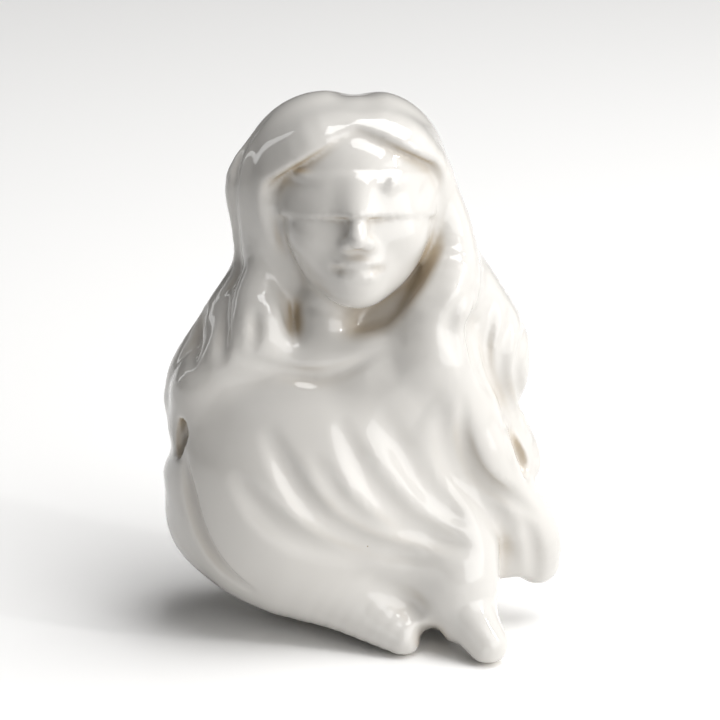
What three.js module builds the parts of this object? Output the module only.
// A blindfolded goddess figurine, cast in one piece of white glazed porcelain, in millimetres.
// x runs to the viewer's right, y away from the viewer, z up; the flat underside lies on z = 0.
// The form is worked like clay: rounded masses are blended together, grooves are pressed into
// them, and the skin of the result is one closed faceted body.
import * as THREE from "three";
import { mergeVertices } from "three/addons/utils/BufferGeometryUtils.js";

// Grain of the clay, and how many facets the finished skin keeps.
const CELL = 1.3;
const FACETS = 9600;
const SPAN_WEIGHT = 0.0004;
const THIN_FACET = 0.02;
const FLAT_SNAP = 0.03;
const BLOCK = { low: [-61.5, -46.5, -4.5], high: [61.5, 42, 154.5] };
const EMPTY = 60;
const BARELY = 0.01;
const TINY = 1e-6;
const REACH = 6;
const SLOPE_STEP = 0.35;
const STRIDE = 0.25;
const FAR_OUT = 75;
const CURVE_STEPS = 4;
const PINCH_PASSES = 3;
const SETTLE_ROUNDS = 2;
const LONGEST_MOVE = 0.4;
const LEAST_STEEP = 0.2;
const LEAST_TURN = 0.3;
const LEAST_DETERMINANT = 1e-3;
const MERGE_WITHIN = 1e-4;
const RING = [
  [0, 0],
  [1, 0],
  [1, 1],
  [0, 1],
];

// The front is laid out on a drawing plane that leans back: x across, h up the plane.
const LEAN = THREE.MathUtils.degToRad(20);
const LEAN_SIN = Math.sin(LEAN);
const LEAN_COS = Math.cos(LEAN);
const GROUND_H = 12.3;

// The head is tipped back about its own centre; its parts use the head's own axes.
const HEAD_CENTRE = [-0.8, -1, 120];
const HEAD_TILT = THREE.MathUtils.degToRad(16);
const TILT_SIN = Math.sin(HEAD_TILT);
const TILT_COS = Math.cos(HEAD_TILT);
const SKULL = { centre: [0, 1, 3], radii: [22.3, 23.5, 22.5] };
const FACE = { centre: [0, -6, -6], radii: [19.6, 16.5, 17.5] };
const JAW = { centre: [0, -8.6, -14.8], radii: [14, 13.6, 13.6] };
const CHIN = { centre: [0, -15, -23.2], radii: [6.5, 6.6, 5.4] };
const CHEEK = { centre: [10, -14, -9.5], radii: [7, 6.2, 6.8] };
const MUZZLE = { centre: [0, -15.2, -17], radii: [8.8, 7.8, 6.2] };
const NOSTRIL_WING = { centre: [2.7, -23.4, -12.4], radii: [1.9, 2.3, 1.7] };
const UPPER_LIP = { centre: [0, -22, -17.6], radii: [5.8, 2.3, 1.7] };
const LOWER_LIP = { centre: [0, -21.8, -20.7], radii: [4.8, 2.3, 2] };
const NOSE = [
  [0, -20.5, 2, 2.4],
  [0, -23.4, -5, 2.3],
  [0, -26, -11, 2.5],
];
const MOUTH_LINE = [
  [-6.6, -21.4, -18.7, 0.6],
  [-3.2, -24.1, -18.9, 1],
  [0, -25, -19.1, 1],
  [3.2, -24.1, -18.9, 1],
  [6.6, -21.4, -18.7, 0.6],
];

// The blindfold: a band of even height that stands proud of the face and thins toward its top.
const BAND = {
  proud: 1.4,
  overNose: 1,
  middle: 0.2,
  half: 5.8,
  rightEnd: 20.2,
  thinning: 0.105,
  thinFrom: -5,
  thinOver: 12,
  edge: 1,
};

// Neck and trunk. Columns are x, h, y, radius unless a comment says otherwise.
const NECK = [
  [-6, 1, 106, 12],
  [-9.6, -9, 89, 7.2],
  [-9, -8, 74, 9],
]; // x, y, z, radius
const NAPE = { centre: [-4, -1.5, 86], radii: [22, 8.5, 11] };
const TRUNK = [
  { middle: [-17.6, 48.8, -2], radii: [34.4, 29, 36], blend: 1 },
  { middle: [-7, 59.6, -1], radii: [41, 25, 24], blend: 12 },
  { middle: [-11.1, 73.2, -3], radii: [36, 20.5, 12], blend: 7 },
  { middle: [-38.6, 68.3, 1], radii: [11, 17, 12], blend: 6 },
  { middle: [-34, 39.5, 0], radii: [17.6, 14, 15.6], blend: 5 },
];
const SWEEP = [
  [-0.3, 51.5, -2, 27],
  [14.6, 33.9, -7, 20],
  [24.1, 19, -14, 12],
];
const RIGHT_FLANK = [
  [17.3, 70.5, -2, 19],
  [25.5, 54.2, 0, 18],
  [31.2, 39.3, 2, 12],
];
const CLOAK_BACK = { centre: [-4, 10, 34], radii: [38, 17, 36] };
const FOOT = { centre: [2, 7, 12], radii: [30, 20.5, 20] };

// The cloak's hem runs out in drips, as if the cloth were still wet.
const DRIP_MIDDLE = [
  [20, 43, -13, 9],
  [25.3, 27.1, -19, 9.7],
  [27, 17.5, -23, 7.7],
  [30.2, 11.5, -27, 6.5],
  [33.4, 6.6, -30, 5.6],
];
const DRIP_LEFT = [
  [-13.8, 27.1, -11, 14],
  [-0.3, 17.2, -18, 9.6],
  [11, 8.6, -25, 5.6],
];
const HEM_EDGE = [
  [26, 41, -16, 5.5],
  [28.4, 33, -19, 5.4],
  [27, 24, -21, 5.8],
];
const DRIP_WEB = { middle: [20, 15.6, -19], radii: [7.5, 6.5, 6], blend: 8 };
const DRIP_RIGHT = [
  [22, 84, -13, 5],
  [26, 72, -12, 7.8],
  [30.5, 58.3, -13, 8.8],
  [37.2, 46.1, -10, 8.8],
  [45, 35.2, -5, 8.2],
  [47.4, 27.4, -2, 6.3],
];
const SIDE_WEB = { middle: [38.5, 31, -6], radii: [8, 5, 8.4], blend: 4 };
const COLLAR = [
  [-42.3, 74.5, -5, 4.5],
  [-26, 81.6, -13.5, 4],
  [-5, 82, -16.5, 4],
  [11.1, 86.7, -14, 4],
  [18.7, 90, -10, 4],
];
const COLLAR_END = [
  [5, 76, -15, 6.5],
  [12, 76, -16.5, 7],
  [18, 79, -16, 7],
  [21, 70, -14, 7],
];

// Hair: two lobes either side of the parting, a curtain down each side and a fall at the back.
const HAIR_LOBES = [
  { centre: [-8.2, 4, 2], radii: [23.2, 24, 24.8] },
  { centre: [4.4, 4, 3], radii: [19.6, 24, 23.6] },
];
const FRINGE = [
  [2, -11.5, 14.5, 7],
  [9.5, -12, 11, 8.6],
  [15.5, -8, 6, 7.6],
];
const CURTAIN_LEFT = [
  [-23.4, 134, 3, 5],
  [-27.9, 127.9, 1, 7.4],
  [-26.8, 117.1, 2, 7.3],
  [-27.6, 106, 2, 5.8],
  [-30.2, 98, 2, 6.8],
  [-36, 88.1, 2, 8.4],
  [-41.5, 78, 3, 9.4],
  [-43.4, 71.5, 3, 9.2],
];
const CURTAIN_RIGHT = [
  [12, 127.5, 3, 5.4],
  [18.9, 121, 1, 7.2],
  [22.6, 109.2, 0, 7.8],
  [27, 97.3, 0, 10.6],
  [31.2, 86.7, 0, 12.6],
  [32.8, 79.7, 0, 11.9],
  [33.3, 69.6, 0, 9.2],
  [37.7, 60.7, -2, 8.1],
  [42.8, 54.7, -4, 5.2],
  [44.8, 52, -6, 2.2],
];
const LOCK_LEFT = [
  [-23, 124.7, -3, 4],
  [-25.2, 107.9, -6, 4.2],
  [-26.8, 97.6, -9, 6.4],
  [-26.4, 88.9, -12, 8.4],
  [-32.8, 79.9, -8, 7],
];
const LOCK_RIGHT = [
  [19.4, 127.5, -3, 4],
  [23.6, 113.8, -6, 5.5],
  [23, 101.6, -11, 8],
  [18.7, 90, -15, 8.5],
  [22.4, 75.9, -13, 9.6],
  [25, 65, -11, 9.6],
];
// what closes the gaps between jaw, neck and hair, right side and left
const JAW_FILLS = [
  [
    [17.5, 113, 1, 4],
    [14.5, 104, -2, 5.5],
    [10.5, 97, -3.5, 6],
    [4, 92, -3.5, 5],
  ],
  [
    [-19.5, 113, -3, 4.5],
    [-19.2, 106, -5, 5],
    [-18.5, 100.5, -6, 4],
  ],
];
const NECK_STRAND = [
  [-22.4, 116, -1, 1.6],
  [-20.6, 106, -3, 2],
  [-19, 97, -5.5, 2.4],
  [-18.2, 90, -7.5, 2.4],
  [-18, 83, -10, 2],
];
const BACK_FALL = { centre: [-2, 14, 92], radii: [30, 17, 42] };

// The window the face looks out of: a pointed roof, two walls that flare toward the front, and
// a floor, by height on the head.
const WINDOW = {
  apex: 16.6,
  ridge: 1,
  flareFrom: -9,
  left: {
    slope: THREE.MathUtils.degToRad(31),
    flare: 1.2,
    level: [-45, -38, -31, -23, -12, 1],
    half: [16.5, 18, 19.6, 21.3, 22.3, 23.5],
  },
  right: {
    slope: THREE.MathUtils.degToRad(25),
    flare: 0.5,
    level: [-45, -33, -24, -13, 1],
    half: [6, 9.5, 16, 22, 22.4],
  },
  floor: { level: [-45, -33, -24, -14, -8, -3, 30], depth: [2, -1.5, -4.5, -7, -9, -11, -10] },
};

// Grooves and rolls. Columns are x, h, radius; each follows the skin that is seen there. Their
// ends rise off it by a share of their blend.
const END_RISE = 0.6;
const OVER = 1;
const UNDER = -1;
const WAVES = {
  inner: [
    [29.5, 99, 1.2],
    [27.6, 86.7, 2],
    [29.5, 78, 2],
    [35, 68, 1.8],
    [40.4, 57, 1],
  ],
  outer: [
    [43.6, 92.1, 1],
    [42, 84, 1.6],
    [41.5, 75.9, 1.8],
    [43.6, 67.8, 1.4],
    [46.3, 57.5, 0.8],
  ],
  shares: [0, 0.36, 0.68, 1],
};
const LOCK_LINE = [
  [28, 103, 0.8],
  [24.4, 94.9, 1.6],
  [23, 87, 1.8],
  [25, 79, 1],
];
const HAIR_POCKET = [
  [38.2, 63.1, 1.2],
  [39.9, 58.3, 2],
  [42, 53.5, 2.4],
  [43.4, 49.9, 1.4],
];
const LEFT_PARTING = [
  [-24.1, 144.2, 0.8],
  [-30.1, 136.9, 1.4],
  [-33, 126, 1.6],
  [-32.3, 111.1, 1.8],
  [-32, 103.5, 1.8],
  [-36, 96.7, 1.8],
  [-46, 87, 1.2],
];
const LEFT_OUTER_GROOVE = [
  [-35, 97.6, 0.8],
  [-41.5, 89.4, 1.4],
  [-50.1, 74.8, 1.5],
];
const CROWN_PARTING = [
  [-1.6, 154, 3.4],
  [-0.8, 150, 4.2],
  [0, 144.5, 3],
];
const SHOULDER_ROLL = [
  [-32.5, 103, 2.5],
  [-36, 95, 4],
  [-37.5, 86, 5],
  [-39.5, 79, 5],
  [-44, 75.5, 4.5],
  [-49, 71, 3],
];
const SHOULDER_LINES = [
  [
    [-35, 96, 0.8],
    [-36, 88.5, 2],
    [-36.4, 81.5, 1.2],
  ],
  [
    [-41, 94, 0.8],
    [-43, 86.7, 1.9],
    [-44, 80, 1.2],
  ],
];
const COLLAR_VALLEY = [
  [-31.2, 82, 1],
  [-16, 77.6, 1.8],
  [-4.9, 78.6, 1.8],
  [10, 86, 1],
];
const LOCK_VALLEY = [
  [20.6, 70.5, 1.5],
  [22, 62, 2.4],
  [25.2, 53.7, 3],
  [33, 44.7, 3],
  [40, 37, 1.6],
];
const LOCK_CREASE = [
  [26.3, 70.5, 0.8],
  [26.8, 61, 1.8],
  [29, 54, 2.2],
  [33.3, 48.6, 2.2],
  [39, 45, 1.8],
  [46, 40, 1],
];
const SIDE_GROOVE = [
  [42, 41, 0.8],
  [45, 34.5, 1.8],
  [46.3, 28, 2],
  [47, 22.5, 1.2],
];
const DRIP_NOTCH = [
  [4, 22, 1],
  [13.3, 16.8, 2],
  [17.4, 9.5, 2.4],
  [19.6, 4.5, 2.6],
];
const LEFT_EDGE_GROOVE = [
  [-46.4, 55.5, 1.2],
  [-45.4, 46.9, 2.4],
  [-42.6, 36.4, 2.6],
  [-37.4, 27.4, 2.2],
  [-29.5, 21, 1],
];
const LEFT_NOTCH = [
  [-68, 51, 2],
  [-80, 50, 3.4],
  [-92, 49, 4],
  [-106, 48, 3.2],
  [-125, 47, 1.6],
]; // azimuth, z, radius
const LEFT_PIT = [
  [-45.6, 65.6, -12, 1.1],
  [-46.2, 61.8, -12.8, 2.3],
  [-47.3, 57.3, -12.8, 1.5],
]; // x, h, y, radius

// Cloak folds start at (x, h), fall by drop and swing to the right over run, bending at bend.
const FOLD_STEPS = 6;
const FOLD_SWELL = { start: 0.12, least: 0.3 };
const FOLDS = [
  { x: -32, h: 49.5, run: 37, drop: 22, bend: 13.7, radius: 3, depth: 0.42, blend: 3.6 },
  { x: -23.5, h: 61, run: 42, drop: 33, bend: 13.3, radius: 3.4, depth: 0.6, blend: 3.4 },
  { x: -11.6, h: 55, run: 28, drop: 20.5, bend: 9, radius: 2, depth: 0.35, blend: 3.2 },
  { x: -4.9, h: 63.5, run: 34, drop: 35.5, bend: 14.8, radius: 3.2, depth: 0.5, blend: 3.4 },
  { x: 6.2, h: 66, run: 22, drop: 38, bend: 17, radius: 2.4, depth: 0.2, blend: 4 },
];

// Back of the hair: strands by azimuth round the head, each a slow wave down the fall.
const BACK_STRANDS = { count: 9, from: 104, step: 17.75 };
const BACK_WAVE = [
  [0, 140, 0.6],
  [3, 128, 1.8],
  [6, 112, 2.3],
  [-4, 92, 2.5],
  [5, 72, 2.4],
  [-2, 57, 1],
]; // azimuth offset, z, radius
// Back of the cloak: a few long plain folds below the hair.
const BACK_FOLDS = {
  count: 4,
  from: 120,
  step: 34,
  top: 50,
  bottom: 16,
  swing: 10,
  lag: 0.4,
  radius: 2.6,
  taper: 0.4,
};

// The upright line that strands at the back are laid out around.
const CENTRE_AXIS = [-2, 6];

// How softly each mass runs into the clay it joins.
const BLEND = {
  sweep: 10,
  flank: 8,
  cloakBack: 8,
  foot: 8,
  drip: 7,
  dripRight: 3,
  neck: 4,
  collar: 7,
  collarEnd: 10,
  skull: 2,
  face: 4,
  jaw: 6,
  chin: 5,
  cheek: 4,
  muzzle: 3,
  nose: 2.5,
  nostril: 1.5,
  lip: 1.2,
  mouth: 1,
  lobe: 1.5,
  fringe: 5,
  curtain: 4,
  lock: 5,
  backFall: 8,
  hair: 2.2,
  windowCut: 2.6,
  windowWall: 6,
  windowFloor: 4,
  bandNose: 5,
  band: 0.5,
  neckStrand: 1.5,
  jawFill: 4,
  pit: 2,
  underside: 1.5,
};

// How far each groove sinks or roll stands out, as a share of its radius, and how softly its
// edges run out.
const PRESS = {
  waves: { depth: 0.5, blend: 1.8 },
  hairPocket: { depth: 0.9, blend: 0.8 },
  lockLine: { depth: 0.3, blend: 2.4 },
  leftParting: { depth: 0.4, blend: 1.4 },
  leftOuter: { depth: 0.3, blend: 1.4 },
  crown: { depth: 0.3, blend: 5 },
  backStrands: { depth: 0.5, blend: 2.4 },
  shoulderRoll: { depth: 0.3, blend: 8 },
  shoulder: { depth: 0.75, blend: 2.4 },
  collar: { depth: 0.45, blend: 2 },
  lockValley: { depth: 0.35, blend: 3.6 },
  lockCrease: { depth: 0.75, blend: 2.4 },
  dripNotch: { depth: 0.5, blend: 4 },
  sideGroove: { depth: 0.5, blend: 2 },
  leftEdge: { depth: 0.8, blend: 1.6 },
  leftNotch: { depth: 0.22, blend: 5 },
  backFolds: { depth: 0.35, blend: 4 },
};

function smoothMin(a, b, k) {
  const h = Math.max(k - Math.abs(a - b), 0) / k;
  return Math.min(a, b) - h * h * k * 0.25;
}

function smoothMax(a, b, k) {
  return -smoothMin(-a, -b, k);
}

// A point given on the drawing plane at depth y.
function drawn(x, h, y) {
  return [x, y, (h - GROUND_H - y * LEAN_SIN) / LEAN_COS];
}

// World point to the head's axes, and back.
function intoHead(x, y, z) {
  const dy = y - HEAD_CENTRE[1];
  const dz = z - HEAD_CENTRE[2];
  return [x - HEAD_CENTRE[0], TILT_COS * dy - TILT_SIN * dz, TILT_SIN * dy + TILT_COS * dz];
}

function outOfHead([x, y, z]) {
  return [
    x + HEAD_CENTRE[0],
    TILT_COS * y + TILT_SIN * z + HEAD_CENTRE[1],
    TILT_COS * z - TILT_SIN * y + HEAD_CENTRE[2],
  ];
}

// Value at t of a line through (levels, values), flat beyond its ends.
function along(levels, values, t) {
  if (t <= levels[0]) return values[0];
  for (let i = 1; i < levels.length; i++) {
    if (t > levels[i]) continue;
    const f = (t - levels[i - 1]) / (levels[i] - levels[i - 1]);
    return values[i - 1] + f * (values[i] - values[i - 1]);
  }
  return values[values.length - 1];
}

// Approximate distance to an ellipsoid from a point given relative to its centre.
function ellipsoidDistance(dx, dy, dz, [a, b, c]) {
  const near = Math.hypot(dx / a, dy / b, dz / c) + TINY;
  const steep = Math.hypot(dx / a / a, dy / b / b, dz / c / c) + TINY;
  return (near * (near - 1)) / steep;
}

function ball(centre, radii) {
  return {
    low: centre.map((v, i) => v - radii[i]),
    high: centre.map((v, i) => v + radii[i]),
    distance: (x, y, z) => ellipsoidDistance(x - centre[0], y - centre[1], z - centre[2], radii),
  };
}

// An ellipsoid set in the head's axes; side mirrors it.
function headBall({ centre, radii }, side = 1, swell = 0) {
  const middle = [centre[0] * side, centre[1], centre[2]];
  const size = radii.map((r) => r + swell);
  const world = outOfHead(middle);
  const reach = Math.max(...size);
  return {
    low: world.map((v) => v - reach),
    high: world.map((v) => v + reach),
    distance(x, y, z) {
      const [hx, hy, hz] = intoHead(x, y, z);
      return ellipsoidDistance(hx - middle[0], hy - middle[1], hz - middle[2], size);
    },
  };
}

// Points on the smooth curve through the given ones, steps to a span.
function curve(points, steps) {
  const last = points.length - 1;
  const before = points[0].map((v, i) => 2 * v - points[1][i]);
  const after = points[last].map((v, i) => 2 * v - points[last - 1][i]);
  const p = [before, ...points, after];
  const line = [];
  for (let i = 1; i <= last; i++)
    for (let j = 0; j < steps; j++) line.push(onSpan(p, i, j / steps));
  line.push(points[last]);
  return line;
}

function onSpan(p, i, t) {
  return p[i].map((b, n) => {
    const a = p[i - 1][n];
    const c = p[i + 1][n];
    const d = p[i + 2][n];
    const square = (2 * a - 5 * b + 4 * c - d) * t * t;
    return 0.5 * (2 * b + (c - a) * t + square + (3 * b - 3 * c + d - a) * t ** 3);
  });
}

// A round strand through points of x, y, z, radius.
function strand(points) {
  const line = curve(points, CURVE_STEPS);
  return {
    low: [0, 1, 2].map((i) => Math.min(...line.map((p) => p[i] - p[3]))),
    high: [0, 1, 2].map((i) => Math.max(...line.map((p) => p[i] + p[3]))),
    distance(x, y, z) {
      let best = Infinity;
      for (let i = 1; i < line.length; i++)
        best = Math.min(best, rodDistance(x, y, z, line[i - 1], line[i]));
      return best;
    },
  };
}

function rodDistance(x, y, z, a, b) {
  const vx = b[0] - a[0];
  const vy = b[1] - a[1];
  const vz = b[2] - a[2];
  const dx = x - a[0];
  const dy = y - a[1];
  const dz = z - a[2];
  const share = (dx * vx + dy * vy + dz * vz) / Math.max(vx * vx + vy * vy + vz * vz, TINY);
  const h = Math.min(Math.max(share, 0), 1);
  return Math.hypot(dx - h * vx, dy - h * vy, dz - h * vz) - (a[3] + h * (b[3] - a[3]));
}

const drawnStrand = (rows) => strand(rows.map(([x, h, y, r]) => [...drawn(x, h, y), r]));
const headStrand = (rows, side = 1) =>
  strand(rows.map(([x, y, z, r]) => [...outOfHead([x * side, y, z]), r]));

// A block of clay: the distance to the form so far, held on an even grid.
class Clay {
  constructor() {
    this.origin = BLOCK.low;
    this.count = BLOCK.low.map((v, i) => Math.round((BLOCK.high[i] - v) / CELL) + 1);
    this.value = new Float32Array(this.count[0] * this.count[1] * this.count[2]).fill(EMPTY);
  }

  index(i, j, k) {
    return (i * this.count[1] + j) * this.count[2] + k;
  }

  // Replaces each value in a box by change(value, x, y, z).
  rework(low, high, change) {
    const from = low.map((v, i) => Math.max(0, Math.floor((v - this.origin[i]) / CELL)));
    const to = high.map((v, i) =>
      Math.min(this.count[i] - 1, Math.ceil((v - this.origin[i]) / CELL)),
    );
    for (let i = from[0]; i <= to[0]; i++)
      for (let j = from[1]; j <= to[1]; j++)
        for (let k = from[2]; k <= to[2]; k++) {
          const n = this.index(i, j, k);
          const x = this.origin[0] + i * CELL;
          const y = this.origin[1] + j * CELL;
          this.value[n] = change(this.value[n], x, y, this.origin[2] + k * CELL);
        }
  }

  add(shape, blend) {
    const grow = blend + REACH;
    this.rework(
      shape.low.map((v) => v - grow),
      shape.high.map((v) => v + grow),
      (d, x, y, z) => smoothMin(d, shape.distance(x, y, z), blend),
    );
  }

  press(shape, blend) {
    const grow = blend + REACH / 2;
    this.rework(
      shape.low.map((v) => v - grow),
      shape.high.map((v) => v + grow),
      (d, x, y, z) => smoothMax(d, -shape.distance(x, y, z), blend),
    );
  }

  // Applies change(value, x, y, z) to the whole block.
  everywhere(change) {
    this.rework(BLOCK.low, BLOCK.high, change);
  }

  join(other, blend) {
    for (let n = 0; n < this.value.length; n++)
      this.value[n] = smoothMin(this.value[n], other.value[n], blend);
  }

  // Two corners inside and two outside, crosswise on one cell face, would pinch the skin there:
  // the corner nearest to the skin changes sides.
  openPinches() {
    for (let pass = 0; pass < PINCH_PASSES; pass++)
      for (let i = 0; i < this.count[0] - 1; i++)
        for (let j = 0; j < this.count[1] - 1; j++)
          for (let k = 0; k < this.count[2] - 1; k++)
            for (let axis = 0; axis < 3; axis++) this.openPinch([i, j, k], axis);
  }

  openPinch(at, axis) {
    const b = (axis + 1) % 3;
    const c = (axis + 2) % 3;
    const corners = RING.map(([db, dc]) => {
      const p = [...at];
      p[b] += db;
      p[c] += dc;
      return this.index(...p);
    });
    const inside = corners.map((n) => this.value[n] < 0);
    if (inside[0] !== inside[2] || inside[1] !== inside[3] || inside[0] === inside[1]) return;
    const size = (n) => Math.abs(this.value[n]);
    const nearest = corners.reduce((m, n) => (size(n) < size(m) ? n : m));
    this.value[nearest] = this.value[nearest] < 0 ? BARELY : -BARELY;
  }

  // Value between grid points.
  at(x, y, z) {
    const q = [x, y, z].map((v, i) => (v - this.origin[i]) / CELL);
    const base = q.map((v, i) => Math.min(Math.max(Math.floor(v), 0), this.count[i] - 2));
    const f = q.map((v, i) => Math.min(Math.max(v - base[i], 0), 1));
    let sum = 0;
    for (let corner = 0; corner < 8; corner++) {
      const o = [corner & 1, (corner >> 1) & 1, corner >> 2];
      const w = o.reduce((share, on, i) => share * (on ? f[i] : 1 - f[i]), 1);
      sum += w * this.value[this.index(base[0] + o[0], base[1] + o[1], base[2] + o[2])];
    }
    return sum;
  }

  slope([x, y, z]) {
    const e = SLOPE_STEP;
    return [
      (this.at(x + e, y, z) - this.at(x - e, y, z)) / (2 * e),
      (this.at(x, y + e, z) - this.at(x, y - e, z)) / (2 * e),
      (this.at(x, y, z + e) - this.at(x, y, z - e)) / (2 * e),
    ];
  }

  // First point of the skin met from start along step.
  met(start, step, length) {
    let best = start;
    let lowest = Infinity;
    for (let t = 0; t < length; t += STRIDE) {
      const p = start.map((v, i) => v + t * step[i]);
      const d = this.at(...p);
      if (d < 0) return p;
      if (d >= lowest) continue;
      lowest = d;
      best = p;
    }
    return best;
  }

  // The skin seen square to the drawing plane at (x, h).
  seen(x, h) {
    const up = h - GROUND_H;
    return this.met(
      [x, up * LEAN_SIN - FAR_OUT * LEAN_COS, up * LEAN_COS + FAR_OUT * LEAN_SIN],
      [0, LEAN_COS, -LEAN_SIN],
      2 * FAR_OUT,
    );
  }

  // The skin met from outside at an azimuth (0 is the front) and height.
  around(azimuth, z) {
    const a = THREE.MathUtils.degToRad(azimuth);
    const way = [Math.sin(a), -Math.cos(a)];
    const start = [CENTRE_AXIS[0] + FAR_OUT * way[0], CENTRE_AXIS[1] + FAR_OUT * way[1], z];
    return this.met(start, [-way[0], -way[1], 0], FAR_OUT);
  }

  // A strand whose middle lies (1 - depth) of its radius over the skin (side 1) or under it
  // (side -1), farther off at both ends.
  onSkin(points, radii, { depth, blend }, side) {
    const rows = points.map((p, i) => {
      const g = this.slope(p);
      const rise = i === 0 || i === points.length - 1 ? END_RISE * blend : 0;
      const lift = side * (radii[i] * (1 - depth) + rise);
      const scale = lift / Math.max(Math.hypot(...g), TINY);
      return [...p.map((v, n) => v + g[n] * scale), radii[i]];
    });
    return strand(rows);
  }

  frontGroove(rows, press) {
    const points = rows.map(([x, h]) => this.seen(x, h));
    const radii = rows.map((row) => row[2]);
    this.press(this.onSkin(points, radii, press, OVER), press.blend);
  }

  frontRoll(rows, press) {
    const points = rows.map(([x, h]) => this.seen(x, h));
    const radii = rows.map((row) => row[2]);
    this.add(this.onSkin(points, radii, press, UNDER), press.blend);
  }

  roundGroove(rows, press) {
    const points = rows.map(([azimuth, z]) => this.around(azimuth, z));
    const radii = rows.map((row) => row[2]);
    this.press(this.onSkin(points, radii, press, OVER), press.blend);
  }
}

function addTrunk(clay) {
  for (const { middle, radii, blend } of TRUNK) clay.add(ball(drawn(...middle), radii), blend);
  clay.add(drawnStrand(SWEEP), BLEND.sweep);
  clay.add(drawnStrand(RIGHT_FLANK), BLEND.flank);
  clay.add(ball(CLOAK_BACK.centre, CLOAK_BACK.radii), BLEND.cloakBack);
  clay.add(ball(FOOT.centre, FOOT.radii), BLEND.foot);
  clay.add(drawnStrand(DRIP_MIDDLE), BLEND.drip);
  clay.add(drawnStrand(DRIP_LEFT), BLEND.drip);
  clay.add(drawnStrand(HEM_EDGE), BLEND.drip);
  clay.add(ball(drawn(...DRIP_WEB.middle), DRIP_WEB.radii), DRIP_WEB.blend);
  clay.add(strand(NECK), BLEND.neck);
  clay.add(ball(NAPE.centre, NAPE.radii), BLEND.neck);
}

function addFace(clay) {
  clay.add(headBall(SKULL), BLEND.skull);
  clay.add(headBall(FACE), BLEND.face);
  clay.add(headBall(JAW), BLEND.jaw);
  clay.add(headBall(CHIN), BLEND.chin);
  for (const side of [-1, 1]) clay.add(headBall(CHEEK, side), BLEND.cheek);
  clay.add(headBall(MUZZLE), BLEND.muzzle);
  clay.add(headStrand(NOSE), BLEND.nose);
  for (const side of [-1, 1]) clay.add(headBall(NOSTRIL_WING, side), BLEND.nostril);
  clay.add(headBall(UPPER_LIP), BLEND.lip);
  clay.add(headBall(LOWER_LIP), BLEND.lip);
  clay.press(headStrand(MOUTH_LINE), BLEND.mouth);
}

// Distance to the window that is cut through the hair in front of the face.
function windowDistance(x, y, z) {
  const [hx, hy, hz] = intoHead(x, y, z);
  const across = Math.hypot(hx, WINDOW.ridge);
  const side = hx < 0 ? WINDOW.left : WINDOW.right;
  const rise = hz - WINDOW.apex + (across - WINDOW.ridge) * Math.tan(side.slope);
  const roof = rise * Math.cos(side.slope);
  const flare = side.flare * Math.max(WINDOW.flareFrom - hy, 0);
  const wall = across - along(side.level, side.half, hz) - flare;
  const floor = hy - along(WINDOW.floor.level, WINDOW.floor.depth, hz);
  return smoothMax(smoothMax(roof, wall, BLEND.windowWall), floor, BLEND.windowFloor);
}

function mixRows(a, b, share) {
  return a.map((row, i) => row.map((v, n) => v + (b[i][n] - v) * share));
}

function makeHair() {
  const hair = new Clay();
  for (const lobe of HAIR_LOBES) hair.add(headBall(lobe), BLEND.lobe);
  for (const side of [-1, 1]) hair.add(headStrand(FRINGE, side), BLEND.fringe);
  hair.add(drawnStrand(CURTAIN_LEFT), BLEND.curtain);
  hair.add(drawnStrand(CURTAIN_RIGHT), BLEND.curtain);
  hair.add(ball(BACK_FALL.centre, BACK_FALL.radii), BLEND.backFall);
  hair.add(drawnStrand(LOCK_LEFT), BLEND.lock);
  hair.add(drawnStrand(LOCK_RIGHT), BLEND.lock);
  hair.everywhere((d, x, y, z) => smoothMax(d, -windowDistance(x, y, z), BLEND.windowCut));
  hair.add(drawnStrand(NECK_STRAND), BLEND.neckStrand);
  pressHairGrooves(hair);
  return hair;
}

function pressHairGrooves(hair) {
  for (const share of WAVES.shares)
    hair.frontGroove(mixRows(WAVES.inner, WAVES.outer, share), PRESS.waves);
  hair.frontGroove(LOCK_LINE, PRESS.lockLine);
  hair.frontGroove(HAIR_POCKET, PRESS.hairPocket);
  hair.frontGroove(LEFT_PARTING, PRESS.leftParting);
  hair.frontGroove(LEFT_OUTER_GROOVE, PRESS.leftOuter);
  hair.frontGroove(CROWN_PARTING, PRESS.crown);
  for (let i = 0; i < BACK_STRANDS.count; i++) {
    const azimuth = BACK_STRANDS.from + i * BACK_STRANDS.step;
    hair.roundGroove(BACK_WAVE.map(([off, z, r]) => [azimuth + off, z, r]), PRESS.backStrands);
  }
}

// The blindfold as a swelling of skull and face kept between two level planes of the head.
function addBlindfold(clay) {
  const band = new Clay();
  band.add(headBall(SKULL, 1, BAND.proud), BLEND.skull);
  band.add(headBall(FACE, 1, BAND.proud), BLEND.face);
  const bridge = NOSE.slice(0, 2).map(([x, y, z, r]) => [x, y, z, r + BAND.overNose]);
  band.add(headStrand(bridge), BLEND.bandNose);
  band.everywhere((d, x, y, z) => {
    const [hx, , hz] = intoHead(x, y, z);
    const over = Math.min(Math.max(hz - BAND.thinFrom, 0), BAND.thinOver);
    const slab = Math.abs(hz - BAND.middle) - BAND.half;
    const band = smoothMax(d + BAND.thinning * over, slab, BAND.edge);
    return smoothMax(band, hx - BAND.rightEnd, BAND.edge);
  });
  clay.join(band, BLEND.band);
}

// Line of a cloak fold: steep at first, then swinging out to the side.
function foldRows({ x, h, run, drop, bend, radius }) {
  const rows = [];
  for (let i = 0; i <= FOLD_STEPS; i++) {
    const t = i / FOLD_STEPS;
    const fall = drop * (1 - Math.exp((-run * t) / bend));
    const stage = FOLD_SWELL.start + (1 - FOLD_SWELL.start) * t;
    const swell = FOLD_SWELL.least + (1 - FOLD_SWELL.least) * Math.sin(Math.PI * stage);
    rows.push([x + run * t, h - fall, radius * swell]);
  }
  return rows;
}

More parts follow.
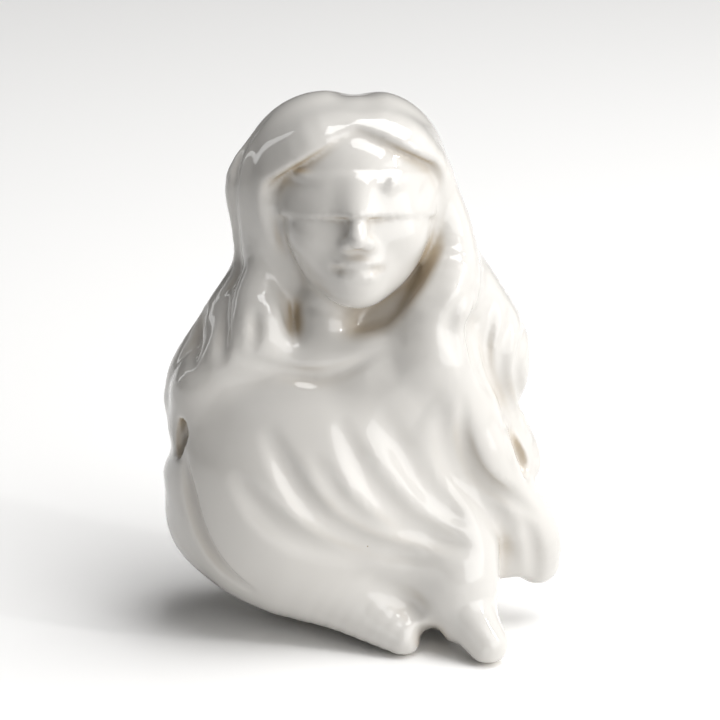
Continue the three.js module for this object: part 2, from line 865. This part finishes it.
function backFoldRows(i) {
  const azimuth = BACK_FOLDS.from + i * BACK_FOLDS.step;
  const middle = (BACK_FOLDS.top + BACK_FOLDS.bottom) / 2;
  const thin = BACK_FOLDS.taper * BACK_FOLDS.radius;
  return [
    [azimuth, BACK_FOLDS.top, thin],
    [azimuth + BACK_FOLDS.lag * BACK_FOLDS.swing, middle, BACK_FOLDS.radius],
    [azimuth + BACK_FOLDS.swing, BACK_FOLDS.bottom, thin],
  ];
}

function pressCloak(clay) {
  clay.frontRoll(SHOULDER_ROLL, PRESS.shoulderRoll);
  for (const line of SHOULDER_LINES) clay.frontGroove(line, PRESS.shoulder);
  clay.frontGroove(COLLAR_VALLEY, PRESS.collar);
  for (const fold of FOLDS) clay.frontGroove(foldRows(fold), fold);
  clay.frontGroove(LOCK_VALLEY, PRESS.lockValley);
  clay.frontGroove(LOCK_CREASE, PRESS.lockCrease);
  clay.frontGroove(SIDE_GROOVE, PRESS.sideGroove);
  clay.frontGroove(DRIP_NOTCH, PRESS.dripNotch);
  clay.frontGroove(LEFT_EDGE_GROOVE, PRESS.leftEdge);
  clay.roundGroove(LEFT_NOTCH, PRESS.leftNotch);
  clay.press(drawnStrand(LEFT_PIT), BLEND.pit);
  for (let i = 0; i < BACK_FOLDS.count; i++) clay.roundGroove(backFoldRows(i), PRESS.backFolds);
}

function makeFigure() {
  const clay = new Clay();
  addTrunk(clay);
  addFace(clay);
  addBlindfold(clay);
  clay.join(makeHair(), BLEND.hair);
  for (const rows of JAW_FILLS) clay.add(drawnStrand(rows), BLEND.jawFill);
  clay.add(drawnStrand(COLLAR), BLEND.collar);
  clay.add(drawnStrand(COLLAR_END), BLEND.collarEnd);
  clay.add(drawnStrand(DRIP_RIGHT), BLEND.dripRight);
  clay.add(ball(drawn(...SIDE_WEB.middle), SIDE_WEB.radii), SIDE_WEB.blend);
  pressCloak(clay);
  clay.everywhere((d, x, y, z) => smoothMax(d, -z, BLEND.underside));
  clay.openPinches();
  return clay;
}

// The skin of the clay: one vertex in each cell it crosses, one quad round each crossed edge.
function skinOf(clay) {
  const cells = new Map();
  const vertices = [];
  const faces = [];
  const [nx, ny, nz] = clay.count;
  for (let i = 0; i < nx - 1; i++)
    for (let j = 0; j < ny - 1; j++)
      for (let k = 0; k < nz - 1; k++) {
        const middle = crossingMiddle(clay, i, j, k);
        if (!middle) continue;
        cells.set(clay.index(i, j, k), vertices.length);
        vertices.push(settled(clay, middle));
      }
  for (let i = 1; i < nx - 1; i++)
    for (let j = 1; j < ny - 1; j++)
      for (let k = 1; k < nz - 1; k++) addQuads(clay, cells, faces, [i, j, k]);
  return { vertices, faces: faces.flatMap((quad) => splitQuad(quad, vertices)) };
}

// Mean of the points where the skin cuts the twelve edges of a cell, or null.
function crossingMiddle(clay, i, j, k) {
  const sum = [0, 0, 0];
  let hits = 0;
  for (let axis = 0; axis < 3; axis++)
    for (let corner = 0; corner < 8; corner++) {
      const o = [corner & 1, (corner >> 1) & 1, corner >> 2];
      if (o[axis]) continue;
      const p = [i + o[0], j + o[1], k + o[2]];
      const q = p.map((v, n) => (n === axis ? v + 1 : v));
      const a = clay.value[clay.index(...p)];
      const b = clay.value[clay.index(...q)];
      if (a < 0 === b < 0) continue;
      const t = a / (a - b);
      for (let n = 0; n < 3; n++)
        sum[n] += clay.origin[n] + (p[n] + (n === axis ? t : 0)) * CELL;
      hits++;
    }
  return hits ? sum.map((v) => v / hits) : null;
}

// Moves a vertex down the slope onto the skin.
function settled(clay, start) {
  let p = start;
  for (let round = 0; round < SETTLE_ROUNDS; round++) {
    const g = clay.slope(p);
    const d = clay.at(...p);
    const steep = Math.max(dot(g, g), LEAST_STEEP);
    const move = g.map((v) => (v * d) / steep);
    const hold = Math.min(1, (LONGEST_MOVE * CELL) / Math.max(Math.hypot(...move), TINY));
    p = p.map((v, i) => v - move[i] * hold);
  }
  return p;
}

function addQuads(clay, cells, faces, at) {
  const here = clay.value[clay.index(...at)] < 0;
  for (let axis = 0; axis < 3; axis++) {
    const next = at.map((v, n) => (n === axis ? v + 1 : v));
    const there = clay.value[clay.index(...next)] < 0;
    if (here === there) continue;
    const b = (axis + 1) % 3;
    const c = (axis + 2) % 3;
    const ring = RING.map(([db, dc]) => {
      const cell = [...at];
      cell[b] += db - 1;
      cell[c] += dc - 1;
      return cells.get(clay.index(...cell));
    });
    faces.push(here ? ring : ring.reverse());
  }
}

// Two triangles over the shorter diagonal.
function splitQuad([a, b, c, d], vertices) {
  const span = (p, q) => Math.hypot(...vertices[p].map((v, i) => v - vertices[q][i]));
  if (span(a, c) <= span(b, d)) return [[a, b, c], [a, c, d]];
  return [[a, b, d], [b, c, d]];
}

const minus = (a, b) => [a[0] - b[0], a[1] - b[1], a[2] - b[2]];
const dot = (a, b) => a[0] * b[0] + a[1] * b[1] + a[2] * b[2];
const cross = (a, b) => [
  a[1] * b[2] - a[2] * b[1],
  a[2] * b[0] - a[0] * b[2],
  a[0] * b[1] - a[1] * b[0],
];

// Edges in order of what it costs to close them, cheapest first.
class Queue {
  constructor() {
    this.items = [];
  }

  push(item) {
    let n = this.items.push(item) - 1;
    while (n > 0) {
      const up = (n - 1) >> 1;
      if (this.items[up].cost <= item.cost) break;
      this.items[n] = this.items[up];
      n = up;
    }
    this.items[n] = item;
  }

  pop() {
    const first = this.items[0];
    const item = this.items.pop();
    const size = this.items.length;
    if (!size) return first;
    let n = 0;
    for (;;) {
      let down = 2 * n + 1;
      if (down >= size) break;
      if (down + 1 < size && this.items[down + 1].cost < this.items[down].cost) down++;
      if (item.cost <= this.items[down].cost) break;
      this.items[n] = this.items[down];
      n = down;
    }
    this.items[n] = item;
    return first;
  }
}

// Thins a closed skin to a number of facets, giving up first the vertices that shape it least.
class Thinner {
  constructor({ vertices, faces }) {
    this.points = vertices;
    this.faces = faces;
    this.left = faces.length;
    this.around = vertices.map(() => new Set());
    faces.forEach((face, n) => face.forEach((v) => this.around[v].add(n)));
    this.error = vertices.map(() => new Float64Array(10));
    faces.forEach((face) => this.addPlane(face));
    this.stamp = new Int32Array(vertices.length);
    this.queue = new Queue();
    faces.forEach(([a, b, c]) => {
      if (a < b) this.offer(a, b);
      if (b < c) this.offer(b, c);
      if (c < a) this.offer(c, a);
    });
  }

  // Adds a facet's squared distance, weighted by its area, to its three vertices.
  addPlane(face) {
    const [a, b, c] = face.map((v) => this.points[v]);
    const n = cross(minus(b, a), minus(c, a));
    const area = Math.hypot(...n) + TINY;
    const [x, y, z] = n.map((v) => v / area);
    const w = -dot([x, y, z], a);
    const terms = [x * x, x * y, x * z, x * w, y * y, y * z, y * w, z * z, z * w, w * w];
    face.forEach((v) => terms.forEach((t, i) => (this.error[v][i] += t * area)));
  }

  costAt(q, [x, y, z]) {
    const square = q[0] * x * x + q[4] * y * y + q[7] * z * z;
    const mixed = 2 * (q[1] * x * y + q[2] * x * z + q[5] * y * z);
    return square + mixed + 2 * (q[3] * x + q[6] * y + q[8] * z) + q[9];
  }

  // The point that costs least, or the best of ends and middle where that is ill placed.
  bestPoint(q, a, b) {
    const middle = a.map((v, i) => (v + b[i]) / 2);
    const ab = [q[0], q[1], q[2]];
    const cd = [q[1], q[4], q[5]];
    const ef = [q[2], q[5], q[7]];
    const det = dot(ab, cross(cd, ef));
    const span = Math.hypot(...minus(a, b));
    if (Math.abs(det) > LEAST_DETERMINANT) {
      const r = [-q[3], -q[6], -q[8]];
      const p = [
        dot(r, cross(cd, ef)) / det,
        dot(ab, cross(r, ef)) / det,
        dot(ab, cross(cd, r)) / det,
      ];
      if (Math.hypot(...minus(p, middle)) < span) return p;
    }
    return [middle, a, b].reduce((x, y) => (this.costAt(q, x) <= this.costAt(q, y) ? x : y));
  }

  offer(a, b) {
    const q = this.error[a].map((v, i) => v + this.error[b][i]);
    const p = this.bestPoint(q, this.points[a], this.points[b]);
    const span = minus(this.points[a], this.points[b]);
    const cost = Math.max(this.costAt(q, p), 0) + SPAN_WEIGHT * dot(span, span);
    this.queue.push({ cost, a, b, p, q, stamp: this.stamp[a] + this.stamp[b] });
  }

  neighbours(v) {
    const found = new Set();
    for (const n of this.around[v]) for (const u of this.faces[n]) if (u !== v) found.add(u);
    return found;
  }

  // Closing the edge may not pinch the skin, and may not turn a facet over.
  mayClose({ a, b, p }) {
    const other = this.neighbours(b);
    const shared = [...this.neighbours(a)].filter((v) => other.has(v));
    return shared.length === 2 && this.staysFacing(a, b, p) && this.staysFacing(b, a, p);
  }

  staysFacing(v, gone, p) {
    for (const n of this.around[v]) {
      if (this.faces[n].includes(gone)) continue;
      const old = this.faces[n].map((u) => this.points[u]);
      const now = this.faces[n].map((u) => (u === v ? p : this.points[u]));
      const before = cross(minus(old[1], old[0]), minus(old[2], old[0]));
      const after = cross(minus(now[1], now[0]), minus(now[2], now[0]));
      const size = Math.hypot(...after);
      const turned = dot(before, after) < LEAST_TURN * Math.hypot(...before) * size;
      if (size < THIN_FACET || turned) return false;
    }
    return true;
  }

  close({ a, b, p, q }) {
    for (const n of [...this.around[b]]) {
      const face = this.faces[n];
      if (face.includes(a)) {
        face.forEach((v) => this.around[v].delete(n));
        this.faces[n] = null;
        this.left--;
      } else {
        face[face.indexOf(b)] = a;
        this.around[a].add(n);
      }
    }
    this.around[b].clear();
    this.points[a] = p;
    this.error[a] = q;
    this.stamp[a]++;
    this.stamp[b] = -1;
    for (const v of this.neighbours(a)) this.offer(a, v);
  }

  thinTo(count) {
    while (this.left > count && this.queue.items.length) {
      const edge = this.queue.pop();
      const gone = this.stamp[edge.a] < 0 || this.stamp[edge.b] < 0;
      if (gone || this.stamp[edge.a] + this.stamp[edge.b] !== edge.stamp) continue;
      if (this.mayClose(edge)) this.close(edge);
    }
    return this.faces.filter(Boolean);
  }
}

// The finished body, its underside brought exactly onto the ground plane.
function makeBody() {
  const thinner = new Thinner(skinOf(makeFigure()));
  const faces = thinner.thinTo(FACETS);
  const points = thinner.points.map(([x, y, z]) => [x, y, Math.abs(z) < FLAT_SNAP ? 0 : z]);
  const geometry = new THREE.BufferGeometry();
  geometry.setAttribute("position", new THREE.Float32BufferAttribute(points.flat(), 3));
  geometry.setIndex(faces.flat());
  const body = mergeVertices(geometry.toNonIndexed(), MERGE_WITHIN);
  body.computeVertexNormals();
  return body;
}

const porcelain = new THREE.MeshStandardMaterial({
  name: "white_glazed_porcelain",
  color: 0xf1eee7,
  roughness: 0.12,
  metalness: 0,
});

const goddess = new THREE.Mesh(makeBody(), porcelain);
goddess.name = "goddess_figurine";

const figurine = new THREE.Group();
figurine.name = "figurine";
figurine.add(goddess);

export default figurine;
